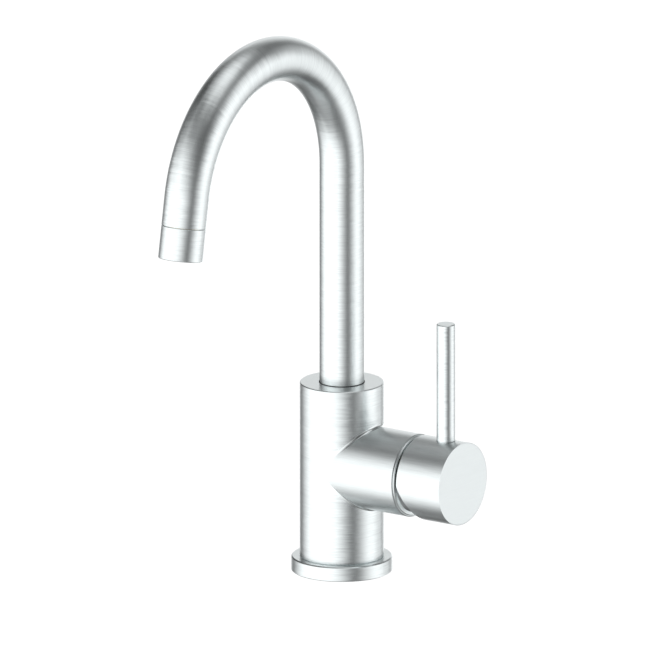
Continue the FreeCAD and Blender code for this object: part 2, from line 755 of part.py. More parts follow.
# ---------------------------------------------------------------- cartridge, moving pieces
def cartridge_rotor():
    """Turns with the handle to set the temperature. It holds the pivot's pin and guides the slide."""
    rotor = bar_x(rotor_r, rotor_start, rotor_shoulder).fuse(bar_x(rotor_neck_r, rotor_shoulder, case_end))
    pin_hole = bar_y(PIN_DIAMETER / 2 + PIN_FIT, -rotor_r, rotor_r, pivot_x, VALVE_HEIGHT)
    rib_y = (RIB_SPACING + RIB_WIDTH) / 2 + RIB_CLEARANCE
    guide = block(rotor_start - PAST, carrier_end + RIB_HEIGHT + RIB_CLEARANCE, -rib_y, rib_y,
                  VALVE_HEIGHT - rotor_r, VALVE_HEIGHT + rotor_r)
    return without(rotor, pin_hole, guide, *stem_slot())


def stem_slot():
    """Room for the stem to tip: outwards of the pivot it dips, inwards of it, it rises."""
    tilt = math.radians(TILT)
    half = STEM_SQUARE / 2
    side = half + STEM_SLOT_CLEARANCE
    room = half / math.cos(tilt) + STEM_SLOT_CLEARANCE
    dip = (case_end - pivot_x) * math.tan(tilt)
    rise = half * math.tan(tilt)
    return [
        block(pivot_x, case_end + PAST, -side, side, VALVE_HEIGHT - room - dip, VALVE_HEIGHT + room),
        block(rotor_start - PAST, pivot_x, -side, side, VALVE_HEIGHT - room, VALVE_HEIGHT + room + rise),
    ]


def pivot_pin():
    half_length = rotor_r - PIN_INSET
    return bar_y(PIN_DIAMETER / 2, -half_length, half_length, pivot_x, VALVE_HEIGHT)


def carrier_pegs(radius, start):
    """Pair of pegs, or of holes for them, between the slide and its disc."""
    return [bar_x(radius, start, moving_disc_end + PAST, side * PEG_SPREAD, slide_z) for side in (-1, 1)]


def moving_disc():
    """Ceramic disc that slides over the fixed one. The hollow in its face joins inlets and outlet."""
    disc = bar_x(carrier_r, moving_disc_start, moving_disc_end, 0, slide_z)
    pocket_end = moving_disc_start + MIXING_POCKET_DEPTH
    pocket_z = slide_z - MIXING_POCKET_DROP
    pocket = bar_x(MIXING_POCKET_DIAMETER / 2, moving_disc_start - PAST, pocket_end, 0, pocket_z)
    peg_hole_start = moving_disc_end - PEG_LENGTH - DISC_CLEARANCE
    return without(disc, pocket, *carrier_pegs(PEG_DIAMETER / 2 + DISC_CLEARANCE, peg_hole_start))


def disc_carrier():
    """Plastic slide on the moving disc. The stem's ball pushes it, and two ribs keep it straight."""
    pieces = carrier_pegs(PEG_DIAMETER / 2, moving_disc_end - PEG_LENGTH)
    rib_x = carrier_end + RIB_HEIGHT
    rib_z = slide_z - RIB_LENGTH / 2
    for side in (-1, 1):
        rib_y = side * RIB_SPACING / 2 - RIB_WIDTH / 2
        pieces.append(block(carrier_end - PAST, rib_x, rib_y, rib_y + RIB_WIDTH, rib_z, rib_z + RIB_LENGTH))
    carrier = bar_x(carrier_r, moving_disc_end, carrier_end, 0, slide_z).fuse(pieces)
    ball_socket = bar_x(ball_r + BALL_CLEARANCE, moving_disc_end + CARRIER_FLOOR, carrier_end + PAST)
    return without(carrier, ball_socket)


def cartridge_stem():
    """Lever inside the cartridge: a ball, a shank, and a square bar that carries the hub."""
    half = STEM_SQUARE / 2
    ball = Part.makeSphere(ball_r, V(ball_x, 0, VALVE_HEIGHT))
    shank = bar_x(STEM_SHANK / 2, ball_x, pivot_x)
    bar = block(pivot_x - half, stem_end, -half, half, VALVE_HEIGHT - half, VALVE_HEIGHT + half)
    hole = bar_y(PIN_DIAMETER / 2 + PIN_RUNNING_CLEARANCE, -STEM_SQUARE, STEM_SQUARE, pivot_x, VALVE_HEIGHT)
    return without(ball.fuse([shank, bar]), hole)


# ---------------------------------------------------------------- handle
def handle_hub():
    """Cap of the valve, as wide as its housing, with a square socket for the stem."""
    inner_r = valve_r - HUB_WALL
    turned = along_valve(lathe([
        (0, hub_cavity_end),
        (inner_r, hub_cavity_end),
        (inner_r, hub_start),
        (valve_r - SMALL_CHAMFER, hub_start),
        (valve_r, hub_start + SMALL_CHAMFER),
        (valve_r, hub_end - HUB_EDGE_DEPTH),
        (valve_r - SMALL_CHAMFER, hub_end),
        (0, hub_end),
    ]))
    half = STEM_SQUARE / 2 + STEM_FIT
    socket_x = hub_cavity_end - PAST
    socket = block(socket_x, hub_socket_end, -half, half, VALVE_HEIGHT - half, VALVE_HEIGHT + half)
    rod_hole_z = rod_seat_z - ROD_TENON_LENGTH - ROD_TENON_GAP
    rod_seat = bar_z(ROD_DIAMETER / 2 + ROD_FIT, rod_seat_z, valve_top + PAST, rod_x)
    rod_hole = bar_z(ROD_TENON_DIAMETER / 2 + ROD_FIT, rod_hole_z, rod_seat_z + PAST, rod_x)
    screw_hole = bar_z(GRUB_DIAMETER / 2, valve_bottom - PAST, VALVE_HEIGHT, handle_screw_x)
    cover_hole = bar_z(COVER_DIAMETER / 2 + COVER_FIT, valve_bottom - PAST,
                       valve_bottom + COVER_THICKNESS + COVER_GAP, handle_screw_x)
    return without(turned, hub_relief(), socket, rod_seat, rod_hole, screw_hole, cover_hole)


def hub_relief():
    """Slanted cut in the hub's rear edge, below its axis, so that the hub can tip down."""
    reach = valve_r + PAST
    slant = reach * math.tan(math.radians(TILT + HUB_RELIEF_MARGIN))
    corners = [
        V(hub_start, -reach, VALVE_HEIGHT),
        V(hub_start + slant, -reach, VALVE_HEIGHT - reach),
        V(hub_start - PAST, -reach, VALVE_HEIGHT - reach),
        V(hub_start - PAST, -reach, VALVE_HEIGHT),
    ]
    return Part.Face(Part.makePolygon(corners + corners[:1])).extrude(V(0, 2 * reach, 0))


def lever_rod():
    """Straight lever: a round bar with a threaded tenon, sunk a little into the hub.

    It is a little thinner in the hub, so that a dark line shows all round its foot.
    """
    r = ROD_DIAMETER / 2
    tenon_r = ROD_TENON_DIAMETER / 2
    tenon_z = rod_seat_z - ROD_TENON_LENGTH
    top = valve_top + ROD_LENGTH
    return placed(lathe([
        (0, tenon_z),
        (tenon_r - SMALL_CHAMFER, tenon_z),
        (tenon_r, tenon_z + SMALL_CHAMFER),
        (tenon_r, rod_seat_z),
        (r - ROD_NECK_STEP, rod_seat_z),
        (r - ROD_NECK_STEP, valve_top),
        (r, valve_top + ROD_NECK_STEP),
        (r, top - SMALL_CHAMFER),
        (r - SMALL_CHAMFER, top),
        (0, top),
    ]), V(rod_x, 0, 0), FreeCAD.Rotation())


def handle_set_screw():
    """Screwed up from under the hub, against the stem."""
    screw = grub_screw(HANDLE_SCREW_LENGTH)
    stem_underside = VALVE_HEIGHT - STEM_SQUARE / 2
    return placed(screw, V(handle_screw_x, 0, stem_underside), FreeCAD.Rotation(OUT, 180))


def screw_cover():
    """Round plug that hides the handle's set screw. Its outer face follows the hub's round side."""
    plug = bar_z(COVER_DIAMETER / 2, valve_bottom - PAST, valve_bottom + COVER_THICKNESS, handle_screw_x)
    return plug.common(bar_x(valve_r, hub_start, hub_end))


# ---------------------------------------------------------------- all the pieces
PIECES = {
    "faucet_body": faucet_body,
    "base_flange": base_flange,
    "deck_gasket": deck_gasket,
    "flange_o_ring": flange_o_ring,
    "spout_set_screw": spout_set_screw,
    "spout_dust_ring": spout_dust_ring,
    "spout_tube": spout_tube,
    "spout_foot": spout_foot,
    "lower_slip_ring": lambda: slip_ring(lower_slip_z),
    "upper_slip_ring": lambda: slip_ring(upper_slip_z),
    "lower_spout_o_ring": lambda: spout_o_ring(lower_o_ring_z),
    "upper_spout_o_ring": lambda: spout_o_ring(upper_o_ring_z),
    "outlet_adapter": outlet_adapter,
    "aerator_housing": aerator_housing,
    "aerator_washer": aerator_washer,
    "aerator_insert": aerator_insert,
    "aerator_screen": aerator_screen,
    "aerator_grid": aerator_grid,
    "cartridge_base": cartridge_base,
    "cartridge_seals": cartridge_seals,
    "fixed_disc": fixed_disc,
    "cartridge_case": cartridge_case,
    "cartridge_nut": cartridge_nut,
    "bonnet_ring": bonnet_ring,
    "cartridge_rotor": cartridge_rotor,
    "pivot_pin": pivot_pin,
    "moving_disc": moving_disc,
    "disc_carrier": disc_carrier,
    "cartridge_stem": cartridge_stem,
    "handle_hub": handle_hub,
    "lever_rod": lever_rod,
    "handle_set_screw": handle_set_screw,
    "screw_cover": screw_cover,
}


def main():
    os.makedirs("parts", exist_ok=True)
    for name, make in PIECES.items():
        shape = make()
        volume = sum(solid.Volume for solid in shape.Solids)
        print(f"{name}: {len(shape.Solids)} solid(s), {volume / 1000:.2f} cm3, valid {shape.isValid()}")
        shape.exportStep(f"parts/{name}.step")
    print(f"pivot at x {pivot_x:.3f}, slide travel {slide_travel:.3f}, housing ends at {housing_end:.3f}, "
          f"hub from {hub_start:.3f} to {hub_end:.3f}, rod at {rod_x:.3f}, body top {body_top:.3f}")


main()
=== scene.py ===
# %% [markdown]
# # A gooseneck bar faucet in brushed metal
# The faucet comes in as a frame of separate CAD pieces, already in place and in metres. The lesson gives
# each piece its finish, makes the bent spout afresh with Geometry Nodes and the trim ring behind the hub
# in mesh code, and lights everything like the studio that the photograph was taken in.

# %% Load the frame
import bmesh
import bpy
import json
import math
from mathutils import Matrix, Vector


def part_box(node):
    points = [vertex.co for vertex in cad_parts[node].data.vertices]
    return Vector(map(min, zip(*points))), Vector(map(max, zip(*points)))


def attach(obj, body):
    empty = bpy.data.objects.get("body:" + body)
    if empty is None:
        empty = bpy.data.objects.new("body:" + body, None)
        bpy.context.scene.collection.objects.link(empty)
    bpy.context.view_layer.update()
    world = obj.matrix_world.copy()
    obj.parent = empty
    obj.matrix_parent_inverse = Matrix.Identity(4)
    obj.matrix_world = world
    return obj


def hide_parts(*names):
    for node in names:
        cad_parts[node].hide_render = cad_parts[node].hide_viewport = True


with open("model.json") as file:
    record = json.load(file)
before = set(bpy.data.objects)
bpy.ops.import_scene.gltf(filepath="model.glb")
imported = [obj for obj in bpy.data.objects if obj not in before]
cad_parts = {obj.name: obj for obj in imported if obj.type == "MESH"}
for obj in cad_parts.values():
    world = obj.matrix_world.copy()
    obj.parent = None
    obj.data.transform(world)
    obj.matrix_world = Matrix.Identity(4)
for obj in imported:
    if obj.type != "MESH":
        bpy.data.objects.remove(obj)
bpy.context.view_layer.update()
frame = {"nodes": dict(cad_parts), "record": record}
nodes = frame["nodes"]
MM = 0.001
scene = bpy.context.scene
frame_materials = {slot.material.name for piece in nodes.values() for slot in piece.material_slots}

# %% [markdown]
# ## Node helpers
# Every material, the studio and the spout are node trees. One helper adds a node, sets its options and
# fills its inputs, where an input is either a plain value or another node's output. The others stand for
# single nodes that come up often, which keeps the trees as short to read as formulas. A Mix node has
# inputs of one name for numbers, vectors and colours, so they go by number: 2 and 3, 4 and 5, 6 and 7.

# %% Node helpers
def add(tree, kind, inputs=None, **options):
    """Adds a node. Inputs are given by name or number, as a value or as an output to link."""
    node = tree.nodes.new(kind)
    for name, value in options.items():
        setattr(node, name, value)
    for key, value in (inputs or {}).items():
        if isinstance(value, bpy.types.NodeSocket):
            tree.links.new(value, node.inputs[key])
        else:
            node.inputs[key].default_value = value
    return node


def calc(tree, operation, a, b=0.0, clamp=False):
    """One Math node's result."""
    return add(tree, "ShaderNodeMath", {0: a, 1: b}, operation=operation, use_clamp=clamp).outputs[0]


def vector_calc(tree, operation, a, b=None, output=0):
    """One Vector Math node's result. Where that is a number, as for a dot product, it is output 1."""
    inputs = {0: a} if b is None else {0: a, 1: b}
    return add(tree, "ShaderNodeVectorMath", inputs, operation=operation).outputs[output]


def soft_step(tree, value, start, end):
    """0 below start and 1 above end, with a soft shoulder at both."""
    inputs = {"Value": value, "From Min": start, "From Max": end, "To Min": 0.0, "To Max": 1.0}
    return add(tree, "ShaderNodeMapRange", inputs, interpolation_type="SMOOTHSTEP").outputs["Result"]


def blend_values(tree, share, a, b):
    """Goes from a to b as the share goes from 0 to 1."""
    return add(tree, "ShaderNodeMix", {"Factor": share, 2: a, 3: b}, data_type="FLOAT").outputs[0]


print("node helpers for", bpy.app.version_string)

# %% [markdown]
# ## The camera
# The photograph is a studio picture taken from far away with a long lens: the riser's edges and the two
# ends of the valve show no perspective. A parallel camera gives the same. It stands 35 degrees to the
# right of the spout's plane and looks 15 degrees down, which is how round the flange's edge appears.

# %% The camera
CAMERA_TURN = math.radians(35.2)
CAMERA_DROP = math.radians(15.06)
PICTURE_WIDTH = 344.05 * MM
PICTURE_CENTRE = (-10.34 * MM, 131.5 * MM)      # to the right of and above the faucet's foot
CAMERA_DISTANCE = 2.0

to_camera = Vector((
    math.sin(CAMERA_TURN) * math.cos(CAMERA_DROP),
    -math.cos(CAMERA_TURN) * math.cos(CAMERA_DROP),
    math.sin(CAMERA_DROP),
))
picture_right = Vector((math.cos(CAMERA_TURN), math.sin(CAMERA_TURN), 0))
picture_up = to_camera.cross(picture_right)
target = picture_right * PICTURE_CENTRE[0] + picture_up * PICTURE_CENTRE[1]

lens = bpy.data.cameras.new("studio_camera")
lens.type = "ORTHO"
lens.ortho_scale = PICTURE_WIDTH
camera = bpy.data.objects.new("studio_camera", lens)
camera.matrix_world = (
    Matrix.Translation(target + to_camera * CAMERA_DISTANCE)
    @ Matrix((picture_right, picture_up, to_camera)).transposed().to_4x4()
)
scene.collection.objects.link(camera)
scene.camera = camera
scene.view_settings.view_transform = "Standard"
print("camera looks along", [round(v, 3) for v in -to_camera])

# %% [markdown]
# ## The studio
# Polished and brushed metal shows the room more than itself. The photograph's room can be read off the
# faucet: a wide soft box to the left, a smaller one to the right, a black flag between them that draws
# the dark stripe down every tube, another dark gap behind on the left, and a dark ring above, round a
# bright ceiling. The bend mirrors nearly the whole room, so it also shows some small dark corners and
# lights. Area lights would give hard-edged boxes, so the room is a world shader: each panel is a patch
# of brightness in the direction's turn and height, laid over a room that changes with height.

# %% The studio's panels
# Turn counts from the camera, to the right in the picture, and height from the horizon, in degrees.
ROOM_BY_HEIGHT = [(-90, 0.35), (-74, 0.43), (-62, 0.18), (-50, 0.09), (-30, 1.11), (0, 1.30), (24, 0.32),
                  (40, 0.03), (50, 0.28), (60, 0.56), (70, 0.89), (90, 1.17)]
PANELS = [
    # name, turn, half width, softness, height, half height, softness, brightness
    ("left soft box", -57.7, 30.6, 40, -5.9, 44.7, 16.9, 1.33),
    ("right soft box", 84.8, 11.6, 40, -5.7, 36.8, 23.5, 1.19),
    ("flag between them", 30.9, 24.7, 31.1, -6.2, 37.6, 3, 0.15),
    ("window behind", 170.6, 45.5, 3, -21.1, 40, 40, 1.8),
    ("gap behind, right", 145.3, 19, 40, -9.1, 69.9, 6.8, 0.02),
    ("dark floor behind", 174.2, 47.2, 20, -53.3, 20.5, 13.1, 0.15),
    ("gap behind, left", -147.3, 22.2, 32.9, -5.5, 41.4, 3, 0.02),
    ("dark edge of the ceiling", -45.9, 61, 34.6, 56.6, 13.3, 29.5, 0.02),
    ("dark corner of the ceiling", 116, 20, 18, 49, 11, 10, 0.15),
    ("dark corner of the floor", 118, 30, 16, -64, 12, 8, 0.08),
    ("dark corner, left", -147, 13, 22, 22, 15, 14, 0.04),
    ("flag's upper end", 25, 11, 12, 23, 9, 8, 0.08),
    ("light far behind", 180, 15, 10, 17, 9, 8, 0.86),
    ("window's bright edge", 166, 9, 8, -17, 24, 15, 1.2),
]
print(len(PANELS), "panels:", ", ".join(panel[0] for panel in PANELS))

# %% [markdown]
# ### From panels to light
# The world's nodes turn the direction of each ray into the same two angles. A curve gives the room's
# brightness at that height. Then each panel is laid over it with soft edges, and a later panel covers an
# earlier one. The camera's own rays see plain white instead, as the photograph's background is cut out.

# %% The studio's light
HALF_TURN = 180
ROOM_TINT = (0.99, 1.0, 1.0, 1)
WHITE = (1, 1, 1, 1)

world = bpy.data.worlds.new("studio")
world.use_nodes = True
tree = world.node_tree
tree.nodes.clear()
direction = add(tree, "ShaderNodeTexCoord").outputs["Generated"]
forward = Vector((to_camera.x, to_camera.y, 0)).normalized()
along_view = vector_calc(tree, "DOT_PRODUCT", direction, forward, output=1)
across_view = vector_calc(tree, "DOT_PRODUCT", direction, picture_right, output=1)
upward = vector_calc(tree, "DOT_PRODUCT", direction, Vector((0, 0, 1)), output=1)
turn = calc(tree, "DEGREES", calc(tree, "ARCTAN2", across_view, along_view))
height = calc(tree, "DEGREES", calc(tree, "ARCSINE", upward))

# the curve runs from 0 to 1, so straight down is 0, the horizon is half way and straight up is 1
along_curve = calc(tree, "ADD", calc(tree, "DIVIDE", height, HALF_TURN), 0.5)
room = add(tree, "ShaderNodeFloatCurve", {"Value": along_curve})
curve = room.mapping.curves[0]
for i, (level, brightness) in enumerate(ROOM_BY_HEIGHT):
    place = (level / HALF_TURN + 0.5, brightness)
    if i < 2:
        curve.points[i].location = place
    else:
        curve.points.new(*place)
room.mapping.use_clip = False
for point in curve.points:
    point.handle_type = "VECTOR"
room.mapping.update()
light = room.outputs[0]
for _, turn_at, half_width, side_softness, height_at, half_height, end_softness, brightness in PANELS:
    away = calc(tree, "PINGPONG", calc(tree, "SUBTRACT", turn, turn_at), HALF_TURN)
    beside = soft_step(tree, away, half_width - side_softness, half_width + side_softness)
    off_level = calc(tree, "ABSOLUTE", calc(tree, "SUBTRACT", height, height_at))
    beyond = soft_step(tree, off_level, half_height - end_softness, half_height + end_softness)
    outside = calc(tree, "MAXIMUM", beside, beyond)
    light = blend_values(tree, outside, brightness, light)

tinted = add(tree, "ShaderNodeMix", {"Factor": 1.0, 6: ROOM_TINT, 7: light}, data_type="RGBA",
             blend_type="MULTIPLY").outputs[2]
seen = add(tree, "ShaderNodeLightPath").outputs["Is Camera Ray"]
room_shader = add(tree, "ShaderNodeBackground", {"Color": tinted, "Strength": 1.0})
plain_shader = add(tree, "ShaderNodeBackground", {"Color": WHITE, "Strength": 1.0})
mixed = add(tree, "ShaderNodeMixShader", {0: seen, 1: room_shader.outputs[0], 2: plain_shader.outputs[0]})
add(tree, "ShaderNodeOutputWorld", {"Surface": mixed.outputs[0]})
scene.world = world
print(len(tree.nodes), "nodes in the studio")

# %% [markdown]
# ## The floor
# The photograph's floor is burnt out to white, with no shadow. A floor that only takes light would show
# the faucet's shadow, so this one is a large disc that glows nearly white by itself and takes light for
# the rest, which leaves a breath of shadow under the flange. The metal doesn't see it, because the
# studio above already says what the metal sees below.

# %% The floor
FLOOR_RADIUS = 1.5
FLOOR_GLOW = 0.88
FLOOR_GREY = (0.5, 0.5, 0.5, 1)
FLOOR_CORNERS = 96
FLOOR_GAP = 0.05 * MM       # keeps the floor just clear of the flange's underside
floor_mesh = bpy.data.meshes.new("floor")
corners = [math.tau * i / FLOOR_CORNERS for i in range(FLOOR_CORNERS)]
rim = [(FLOOR_RADIUS * math.cos(at), FLOOR_RADIUS * math.sin(at), -FLOOR_GAP) for at in corners]
floor_mesh.from_pydata(rim, [], [range(FLOOR_CORNERS)])
floor = bpy.data.objects.new("floor", floor_mesh)
scene.collection.objects.link(floor)
floor.visible_glossy = False
floor_paint = bpy.data.materials.new("floor_paint")
floor_paint.use_nodes = True
tree = floor_paint.node_tree
tree.nodes.clear()
matte = add(tree, "ShaderNodeBsdfDiffuse", {"Color": FLOOR_GREY})
glow = add(tree, "ShaderNodeEmission", {"Color": WHITE, "Strength": FLOOR_GLOW})
both = add(tree, "ShaderNodeAddShader", {0: matte.outputs[0], 1: glow.outputs[0]})
add(tree, "ShaderNodeOutputMaterial", {"Surface": both.outputs[0]})
floor_mesh.materials.append(floor_paint)
print("floor is", 2 * FLOOR_RADIUS, "m across")

# %% [markdown]
# ## Brushed metal
# The faucet is turned and then brushed with a belt while it spins, so fine scratches run round every
# tube. Seen closely, they do three things: they smear reflections along the tube more than round it,
# each tilts the reflection a little its own way, which frays the dark stripe's edges into short dashes
# and lines the bend where the reflection changes fast, and they change tone and gloss from ring to ring.
# An anisotropic shader gives the smear. Stretched noise gives the scratches: coarse round the tube, and
# very fine along it. A bump map could only tilt along the tube, so the tilts are made as numbers here.
# The group takes grain coordinates, with Z along the piece's own axis, so that it serves every piece.

# %% The grain, as a node group
DASHES = (9, 0.4)        # length and spacing of the short scratches, in mm
RINGS = (35, 0.4)        # of the long scratches
BANDS = (45, 5.0)        # and of the belt's broad, faint bands
DASH_TONE = 0.24         # how much each changes the metal's tone
RING_TONE = 0.18
BAND_TONE = 0.03
DASH_TILT = 0.18         # how much each tilts the metal: dashes round the piece, the others along it
RING_TILT = 0.18
BAND_TILT = 0.03
DASH_GLOSS = 0.03        # how much the dashes change its roughness


def noise(tree, place, scale, detail):
    return add(tree, "ShaderNodeTexNoise", {"Vector": place, "Scale": scale, "Detail": detail}).outputs["Fac"]


def make_grain_group():
    group = bpy.data.node_groups.new("brushed_grain", "ShaderNodeTree")
    group.interface.new_socket("Place", in_out="INPUT", socket_type="NodeSocketVector")
    group.interface.new_socket("Strength", in_out="INPUT", socket_type="NodeSocketFloat")
    for name in ("Tone", "Gloss Change", "Tilt Round", "Tilt Along"):
        group.interface.new_socket(name, in_out="OUTPUT", socket_type="NodeSocketFloat")
    given = add(group, "NodeGroupInput").outputs
    layers = []
    for length_mm, spacing_mm in (DASHES, RINGS, BANDS):
        scale = Vector((1 / length_mm, 1 / length_mm, 1 / spacing_mm)) / MM
        stretched = vector_calc(group, "MULTIPLY", given["Place"], scale)
        centred = calc(group, "SUBTRACT", noise(group, stretched, 1.0, 1.0), 0.5)
        layers.append(calc(group, "MULTIPLY", centred, given["Strength"]))
    dashes, rings, bands = layers
    tone = calc(group, "ADD", calc(group, "MULTIPLY", dashes, DASH_TONE), 1.0)
    tone = calc(group, "ADD", tone, calc(group, "MULTIPLY", rings, RING_TONE))
    tone = calc(group, "ADD", tone, calc(group, "MULTIPLY", bands, BAND_TONE))
    tilt_along = calc(group, "MULTIPLY", rings, RING_TILT)
    tilt_along = calc(group, "ADD", tilt_along, calc(group, "MULTIPLY", bands, BAND_TILT))
    add(group, "NodeGroupOutput", {
        "Tone": tone,
        "Gloss Change": calc(group, "MULTIPLY", dashes, DASH_GLOSS),
        "Tilt Round": calc(group, "MULTIPLY", dashes, DASH_TILT),
        "Tilt Along": tilt_along,
    })
    return group


grain_group = make_grain_group()
print("grain group:", len(grain_group.nodes), "nodes")

# %% [markdown]
# ## Where a point is on a piece
# The grain follows each piece, so it needs the piece's own coordinates, not the world's. A CAD piece has
# no unwrapped texture map, and doesn't need one: its Object coordinates move with it. They are centred
# on its axis and turned until the axis lies along Z. A normal is turned back into the same coordinates,
# to tell flat faces from round ones.

# %% A piece's own coordinates
def new_material(name):
    material = bpy.data.materials.new(name)
    material.use_nodes = True
    material.node_tree.nodes.clear()
    return material, material.node_tree


def object_place(tree):
    return add(tree, "ShaderNodeTexCoord").outputs["Object"]


def object_normal(tree):
    return add(tree, "ShaderNodeVectorTransform", {0: add(tree, "ShaderNodeNewGeometry").outputs["Normal"]},
               vector_type="NORMAL", convert_from="WORLD", convert_to="OBJECT").outputs[0]


def blend_vectors(tree, share, a, b):
    return add(tree, "ShaderNodeMix", {"Factor": share, 4: a, 5: b}, data_type="VECTOR").outputs[1]


def combine(tree, x, y, z):
    return add(tree, "ShaderNodeCombineXYZ", {0: x, 1: y, 2: z}).outputs[0]


def local_place(tree, centre, rotation):
    """The object's coordinates, centred on a point of its axis and turned so that the axis is Z."""
    centred = add(tree, "ShaderNodeMapping", {"Vector": object_place(tree), "Location": centre * -1})
    turned = add(tree, "ShaderNodeMapping", {"Vector": centred.outputs[0], "Rotation": rotation})
    return turned.outputs[0]


print("the frame brought", len(frame_materials), "plain materials")

# %% [markdown]
# ## Which way the grain runs
# Each piece gets the same metal, but the belt ran round the body, the spout and the rod, and lengthwise
# along the valve and its hub. Flat faces are brushed in straight, level lines. One material per direction
# could be given to each face, but the choice can also be made in the nodes: the side of a piece gets
# coordinates for rings or for lengthwise lines, and faces whose normal lies along the axis get
# coordinates for straight lines. Scratches smear a reflection across themselves, and the anisotropic
# shader smears it the way its tangent points, so each of these also names that way.

# %% Grain directions
GLOSS = 0.285            # roughness of the brushed faces
FLAT_FROM = 0.8          # share of the normal along the axis above which a face counts as flat
SIDE_STRENGTH = 1.0
LENGTHWISE_STRENGTH = 0.6
FLAT_STRENGTH = 0.15
UP = Vector((0, 0, 1))
OUT = Vector((1, 0, 0))
BACK = Vector((0, 1, 0))
TURN_OUT_TO_UP = (0.0, -math.pi / 2, 0.0)


def flat_share(tree, axis):
    """1 on faces cut across the axis, 0 elsewhere."""
    along = calc(tree, "ABSOLUTE", vector_calc(tree, "DOT_PRODUCT", object_normal(tree), axis, output=1))
    return calc(tree, "GREATER_THAN", along, FLAT_FROM)


def ring_grain(tree, centre=Vector((0, 0, 0)), rotation=(0.0, 0.0, 0.0), axis=UP, flat_smear=BACK):
    """Place, smear, strength and gloss of scratches round the axis, with level lines on flat faces."""
    place = local_place(tree, centre, rotation)
    apart = add(tree, "ShaderNodeSeparateXYZ", {0: place}).outputs
    flat = flat_share(tree, axis)
    straight = combine(tree, apart[0], apart[2], apart[1])
    smear_way = blend_vectors(tree, flat, axis, flat_smear)
    strength = blend_values(tree, flat, SIDE_STRENGTH, FLAT_STRENGTH)
    return blend_vectors(tree, flat, place, straight), smear_way, strength, GLOSS


def lengthwise_grain(tree, centre, radius):
    """The same for scratches along an axis that runs outwards."""
    place = local_place(tree, centre, TURN_OUT_TO_UP)
    apart = add(tree, "ShaderNodeSeparateXYZ", {0: place}).outputs
    angle = calc(tree, "ARCTAN2", apart[1], calc(tree, "MULTIPLY", apart[0], -1.0))
    lengthwise = combine(tree, apart[2], 0.0, calc(tree, "MULTIPLY", angle, radius))
    straight = combine(tree, apart[1], apart[2], apart[0])
    flat = flat_share(tree, OUT)
    round_way = vector_calc(tree, "CROSS_PRODUCT", OUT, object_normal(tree))
    smear_way = blend_vectors(tree, flat, round_way, UP)
    strength = blend_values(tree, flat, LENGTHWISE_STRENGTH, FLAT_STRENGTH)
    return blend_vectors(tree, flat, lengthwise, straight), smear_way, strength, GLOSS


print("grain strength", SIDE_STRENGTH, "round,", LENGTHWISE_STRENGTH, "lengthwise,", FLAT_STRENGTH, "flat")

# %% [markdown]
# ## The metal itself
# One shader serves all of it: the grain's tone changes the metal's colour a little, its two tilts turn
# the surface round and along the piece, and its gloss change goes to the roughness. A Vector Transform
# carries the smear's direction along as the piece moves. The metal is like nickel, a touch cooler than
# pure grey.

# %% Brushed metal
METAL = (0.885, 0.925, 0.93, 1)
SMEAR = 0.45


def scaled(tree, vector, share):
    node = add(tree, "ShaderNodeVectorMath", {0: vector}, operation="SCALE")
    tree.links.new(share, node.inputs["Scale"])
    return node.outputs[0]


def brushed_metal(name, grain_of):
    """A metal material. grain_of(tree) gives its place in grain coordinates, smear, strength and gloss."""
    material, tree = new_material(name)
    place, smear_way, strength, gloss = grain_of(tree)
    grain = add(tree, "ShaderNodeGroup", node_tree=grain_group)
    tree.links.new(place, grain.inputs["Place"])
    if isinstance(strength, float):
        grain.inputs["Strength"].default_value = strength
    else:
        tree.links.new(strength, grain.inputs["Strength"])
    colour = add(tree, "ShaderNodeMix", {"Factor": 1.0, 6: METAL, 7: grain.outputs["Tone"]},
                 data_type="RGBA", blend_type="MULTIPLY").outputs[2]
    smear = add(tree, "ShaderNodeVectorTransform", {0: smear_way}, vector_type="VECTOR",
                convert_from="OBJECT", convert_to="WORLD").outputs[0]
    normal = add(tree, "ShaderNodeNewGeometry").outputs["Normal"]
    scratch_way = vector_calc(tree, "CROSS_PRODUCT", normal, smear)
    tilt = vector_calc(tree, "ADD", scaled(tree, scratch_way, grain.outputs["Tilt Round"]),
                       scaled(tree, smear, grain.outputs["Tilt Along"]))
    shader = add(tree, "ShaderNodeBsdfPrincipled", {
        "Base Color": colour,
        "Metallic": 1.0,
        "Roughness": calc(tree, "ADD", grain.outputs["Gloss Change"], gloss),
        "Anisotropic": SMEAR,
        "Tangent": smear,
        "Normal": vector_calc(tree, "NORMALIZE", vector_calc(tree, "ADD", normal, tilt)),
    })
    add(tree, "ShaderNodeOutputMaterial", {"Surface": shader.outputs[0]})
    return material


def paint(material, *names):
    """Gives CAD pieces a finish, in place of the plain one that they came with."""
    for name in names:
        for slot in nodes[name].material_slots:
            slot.material = material
    print(material.name, "on", ", ".join(names))


paint(brushed_metal("brushed_flange", ring_grain), "base_flange")

# %% [markdown]
# ## The other brushed pieces
# The rod stands beside the column's axis and the spout's tip leans, so both say where their own axis is.
# The valve and its hub share one axis, which runs outwards. The body is one piece with two directions:
# rings on its column and lines on the valve's housing. Where the two round shapes meet, the belt can't
# reach into the corner, so the scratches fade out there and the metal is smoother.

# %% Brushed pieces
CORNER_GLOSS = 0.12
CORNER = (1.2 * MM, 2.0 * MM)       # how far from the corner its own gloss starts to end, and ends
TAIL_LEAN = math.radians(10)

hub_low, hub_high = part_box("handle_hub")
rod_low, rod_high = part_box("lever_rod")
valve_height = (hub_low.z + hub_high.z) / 2
valve_radius = (hub_high.z - hub_low.z) / 2
VALVE_CENTRE = Vector((0, 0, valve_height))


